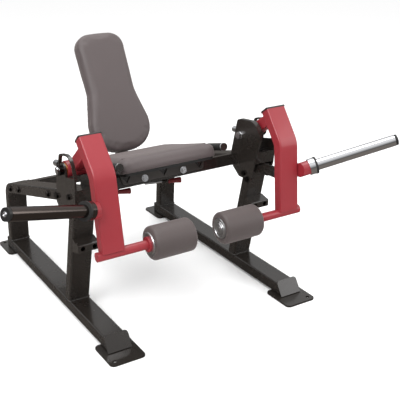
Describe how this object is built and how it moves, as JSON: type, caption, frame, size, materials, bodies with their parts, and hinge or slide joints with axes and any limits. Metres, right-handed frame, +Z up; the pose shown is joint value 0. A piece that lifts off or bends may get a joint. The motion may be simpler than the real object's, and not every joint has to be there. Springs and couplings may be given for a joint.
{
  "type": "leg extension machine",
  "caption": "Plate-loaded seated leg extension machine with independent arms, foam rollers, weight sleeves, a sliding back rest and side handles.",
  "frame": {"origin": "on the floor, under the middle of the bounding box", "axes": "+Z up; -Y is the front, the way the user faces; +X is the user's left-hand side of the machine seen from behind the seat"},
  "size_m": [1.7802, 1.417, 1.086],
  "materials": {
    "frame_paint": "gloss",
    "arm_paint": "satin",
    "chrome": "polished",
    "rubber": "matte",
    "black_plastic": "matte",
    "bronze": "satin",
    "vinyl": "satin",
    "plywood": "matte",
    "red_grip": "gloss"
  },
  "bodies": {
    "frame": {"foot_plates": "frame_paint", "frame_bolts": "chrome", "front_crossbeam": "frame_paint", "handle_bars": "frame_paint", "handle_grips": "rubber", "left_base_beam": "frame_paint", "left_front_post": "frame_paint", "left_inner_plate": "frame_paint", "left_outer_plate": "frame_paint", "left_side_rail": "frame_paint", "pin_housings": "frame_paint", "pivot_nuts": "chrome", "pivot_shafts": "chrome", "rear_crossbeam": "frame_paint", "rest_buffers": "rubber", "rest_stops": "frame_paint", "right_base_beam": "frame_paint", "right_front_post": "frame_paint", "right_inner_plate": "frame_paint", "right_outer_plate": "frame_paint", "right_side_rail": "frame_paint", "rod_guides": "frame_paint", "seat_board": "plywood", "seat_cushion": "vinyl", "seat_spine": "frame_paint", "seat_support": "frame_paint", "stop_brackets": "frame_paint", "tube_end_caps": "frame_paint"},
    "left_arm": {"left_arm_cap": "black_plastic", "left_arm_link": "arm_paint", "left_arm_tube": "arm_paint", "left_hub_bushes": "bronze", "left_roller_shaft": "arm_paint", "left_sleeve_cap": "black_plastic", "left_sleeve_ring": "rubber", "left_sleeve_stub": "arm_paint", "left_weight_sleeve": "chrome"},
    "right_arm": {"right_arm_cap": "black_plastic", "right_arm_link": "arm_paint", "right_arm_tube": "arm_paint", "right_hub_bushes": "bronze", "right_roller_shaft": "arm_paint", "right_sleeve_cap": "black_plastic", "right_sleeve_ring": "rubber", "right_sleeve_stub": "arm_paint", "right_weight_sleeve": "chrome"},
    "left_roller": {"left_roller_core": "chrome", "left_roller_foam": "vinyl"},
    "right_roller": {"right_roller_core": "chrome", "right_roller_foam": "vinyl"},
    "left_start_pin": {"left_start_pin": "chrome"},
    "right_start_pin": {"right_start_pin": "chrome"},
    "back_rest": {"back_board": "plywood", "back_carriage": "frame_paint", "back_cushion": "vinyl"},
    "clamp_knob": {"clamp_knob": "black_plastic"},
    "left_pull_rod": {"left_pull_rod": "chrome", "left_rod_grip": "red_grip"},
    "right_pull_rod": {"right_pull_rod": "chrome", "right_rod_grip": "red_grip"}
  },
  "joints": [
    {"name": "left_arm_swing", "type": "hinge", "parent": "frame", "child": "left_arm", "pos_m": [-0.4325, -0.21254, 0.686], "axis": [-1, 0, 0], "range_deg": [0, 74.5]},
    {"name": "left_roller_spin", "type": "hinge", "parent": "left_arm", "child": "left_roller", "pos_m": [-0.1745, -0.52275, 0.42754], "axis": [1, 0, 0], "continuous": true},
    {"name": "left_pin_pull", "type": "slide", "parent": "frame", "child": "left_start_pin", "axis": [0, 0.9898, -0.1426], "range_m": [0, 0.012], "stiffness_N_per_m": 600, "springref_m": -0.006},
    {"name": "left_rod_pull", "type": "slide", "parent": "frame", "child": "left_pull_rod", "axis": [0.9659, -0.2588, 0], "range_m": [0, 0.015], "stiffness_N_per_m": 500, "springref_m": -0.006},
    {"name": "right_arm_swing", "type": "hinge", "parent": "frame", "child": "right_arm", "pos_m": [0.4325, -0.21254, 0.686], "axis": [-1, 0, 0], "range_deg": [0, 80]},
    {"name": "right_roller_spin", "type": "hinge", "parent": "right_arm", "child": "right_roller", "pos_m": [0.1745, -0.49655, 0.399], "axis": [1, 0, 0], "continuous": true},
    {"name": "right_pin_pull", "type": "slide", "parent": "frame", "child": "right_start_pin", "axis": [0, 0.9898, -0.1426], "range_m": [0, 0.012], "stiffness_N_per_m": 600, "springref_m": -0.006},
    {"name": "right_rod_pull", "type": "slide", "parent": "frame", "child": "right_pull_rod", "axis": [0.9659, -0.2588, 0], "range_m": [0, 0.015], "stiffness_N_per_m": 500, "springref_m": -0.006},
    {"name": "back_rest_slide", "type": "slide", "parent": "frame", "child": "back_rest", "axis": [0, 0.9622, -0.2723], "range_m": [0, 0.09]},
    {"name": "clamp_turn", "type": "hinge", "parent": "back_rest", "child": "clamp_knob", "pos_m": [-0.05, 0.21622, 0.45037], "axis": [-1, 0, 0], "range_deg": [0, 180]}
  ]
}
